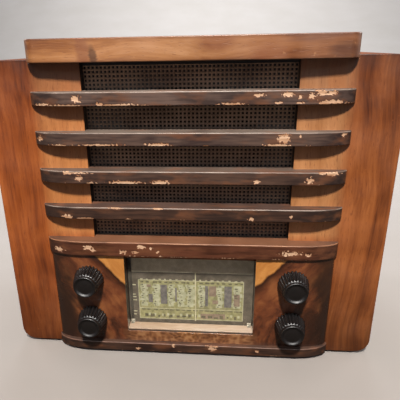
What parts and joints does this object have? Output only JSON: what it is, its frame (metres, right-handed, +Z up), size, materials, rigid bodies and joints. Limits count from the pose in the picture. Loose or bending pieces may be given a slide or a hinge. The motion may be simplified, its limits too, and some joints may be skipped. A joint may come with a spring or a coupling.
{
  "type": "table radio",
  "caption": "Wooden valve table radio with a capped centre, lacquered louvres over the speaker cloth, a lit dial window and fluted bakelite knobs.",
  "frame": {"origin": "bottom centre of the whole object, on the surface that the rubber feet stand on", "axes": "+Z up, the front with its dial and knobs faces -Y, +X is to the right of somebody facing the front"},
  "size_m": [0.48, 0.2872, 0.408],
  "materials": {
    "wing_veneer": "straight-grained walnut veneer under worn satin varnish",
    "cap_veneer": "golden walnut veneer under worn satin varnish",
    "figured_walnut": "figured walnut veneer under glossy varnish",
    "dark_lacquer": "dark brown lacquer on pale wood, chipped along the edges",
    "red_brown_lacquer": "red-brown lacquer on wood, chipped",
    "base_lacquer": "dark brown lacquer on wood, rubbed",
    "pale_wood": "pale bare wood, lightly varnished",
    "plain_wood": "bare plywood",
    "stained_wood": "plywood stained black",
    "pressed_board": "pressed fibre board",
    "bakelite": "black-brown moulded bakelite, polished",
    "clear_glass": "clear flat glass",
    "lamp_glass": "thin blown glass",
    "printed_scale": "printed yellow-green scale with cream lines",
    "cream_paint": "cream enamel",
    "drive_cord": "waxed linen cord",
    "grille_fabric": "open woven brown speaker cloth",
    "zinc_steel": "dull zinc-plated sheet steel",
    "bright_steel": "plain bright steel",
    "aluminium": "dull rolled aluminium",
    "brass": "turned brass",
    "core_iron": "painted laminated iron",
    "basket_paint": "grey enamel on pressed steel",
    "paxolin": "resin-bonded paper board",
    "cone_paper": "felted cone paper",
    "rubber": "black rubber"
  },
  "bodies": {
    "cabinet": {"front_panel": "wing_veneer", "cabinet_top": "wing_veneer", "side_left": "wing_veneer", "side_right": "wing_veneer", "corner_mouldings": "wing_veneer", "cabinet_bottom": "plain_wood", "cap_board": "cap_veneer", "back_battens": "plain_wood", "louvre_1": "dark_lacquer", "louvre_2": "dark_lacquer", "louvre_3": "dark_lacquer", "louvre_4": "dark_lacquer", "waist_bar": "red_brown_lacquer", "base_rail": "base_lacquer", "knob_panel": "figured_walnut", "dial_sill": "pale_wood", "dial_clips": "bright_steel", "dial_glass": "clear_glass", "dial_scale": "printed_scale", "dial_frame": "zinc_steel", "dial_lamps": "lamp_glass", "pointer_rail": "bright_steel", "dial_cord": "drive_cord", "potentiometers": "zinc_steel", "waveband_switch": "paxolin", "spindle_bushes": "brass", "capacitor_frame": "zinc_steel", "capacitor_stator": "aluminium", "chassis": "zinc_steel", "valve_bases": "bakelite", "valve_bulbs": "lamp_glass", "if_transformers": "aluminium", "smoothing_capacitors": "aluminium", "mains_transformer": "core_iron", "terminal_panel": "paxolin", "mains_grommet": "rubber", "cloth_frame": "stained_wood", "speaker_baffle": "stained_wood", "grille_cloth": "grille_fabric", "speaker_basket": "basket_paint", "speaker_magnet": "core_iron", "cone_surround": "cone_paper", "output_transformer": "core_iron", "back_cover": "pressed_board", "back_screws": "bright_steel", "feet": "rubber", "chassis_bolts": "bright_steel"},
    "tuning": {"tuning_knob": "bakelite", "tuning_spindle": "bright_steel"},
    "tone": {"tone_knob": "bakelite", "tone_spindle": "bright_steel"},
    "volume": {"volume_knob": "bakelite", "volume_spindle": "bright_steel"},
    "waveband": {"waveband_knob": "bakelite", "waveband_spindle": "bright_steel"},
    "capacitor": {"capacitor_rotor": "aluminium", "drive_drum": "zinc_steel"},
    "pointer": {"dial_pointer": "cream_paint"},
    "left_pulley": {"pulley_left": "brass"},
    "right_pulley": {"pulley_right": "brass"},
    "cone": {"speaker_cone": "cone_paper"}
  },
  "joints": [
    {"name": "tuning_turn", "type": "hinge", "parent": "cabinet", "child": "tuning", "pos_m": [0.131, -0.1064, 0.052], "axis": [0, 1, 0], "range_deg": [-1414, 1106]},
    {"name": "capacitor_turn", "type": "hinge", "parent": "cabinet", "child": "capacitor", "pos_m": [0, -0.1064, 0.106], "axis": [0, 1, 0], "range_deg": [-101.1, 79.1]},
    {"name": "pointer_slide", "type": "slide", "parent": "cabinet", "child": "pointer", "axis": [1, 0, 0], "range_m": [-0.0742, 0.0581]},
    {"name": "left_pulley_turn", "type": "hinge", "parent": "cabinet", "child": "left_pulley", "pos_m": [-0.1, -0.1064, 0.147], "axis": [0, 1, 0], "range_deg": [-708, 554]},
    {"name": "right_pulley_turn", "type": "hinge", "parent": "cabinet", "child": "right_pulley", "pos_m": [0.1, -0.1064, 0.147], "axis": [0, 1, 0], "range_deg": [-708, 554]},
    {"name": "tone_turn", "type": "hinge", "parent": "cabinet", "child": "tone", "pos_m": [-0.131, -0.1064, 0.113], "axis": [0, 1, 0], "range_deg": [-135, 135]},
    {"name": "volume_turn", "type": "hinge", "parent": "cabinet", "child": "volume", "pos_m": [-0.131, -0.1064, 0.052], "axis": [0, 1, 0], "range_deg": [0, 300]},
    {"name": "waveband_turn", "type": "hinge", "parent": "cabinet", "child": "waveband", "pos_m": [0.131, -0.1064, 0.113], "axis": [0, 1, 0], "range_deg": [-30, 30]},
    {"name": "cone_travel", "type": "slide", "parent": "cabinet", "child": "cone", "axis": [0, 1, 0], "range_m": [-0.0015, 0.0015], "stiffness_N_per_m": 1500}
  ],
  "couplings": [
    {"joint": "capacitor_turn", "follows": "tuning_turn", "ratio": 0.071429},
    {"joint": "pointer_slide", "follows": "tuning_turn", "m_per_rad": 0.003},
    {"joint": "left_pulley_turn", "follows": "tuning_turn", "ratio": 0.5},
    {"joint": "right_pulley_turn", "follows": "tuning_turn", "ratio": 0.5}
  ]
}
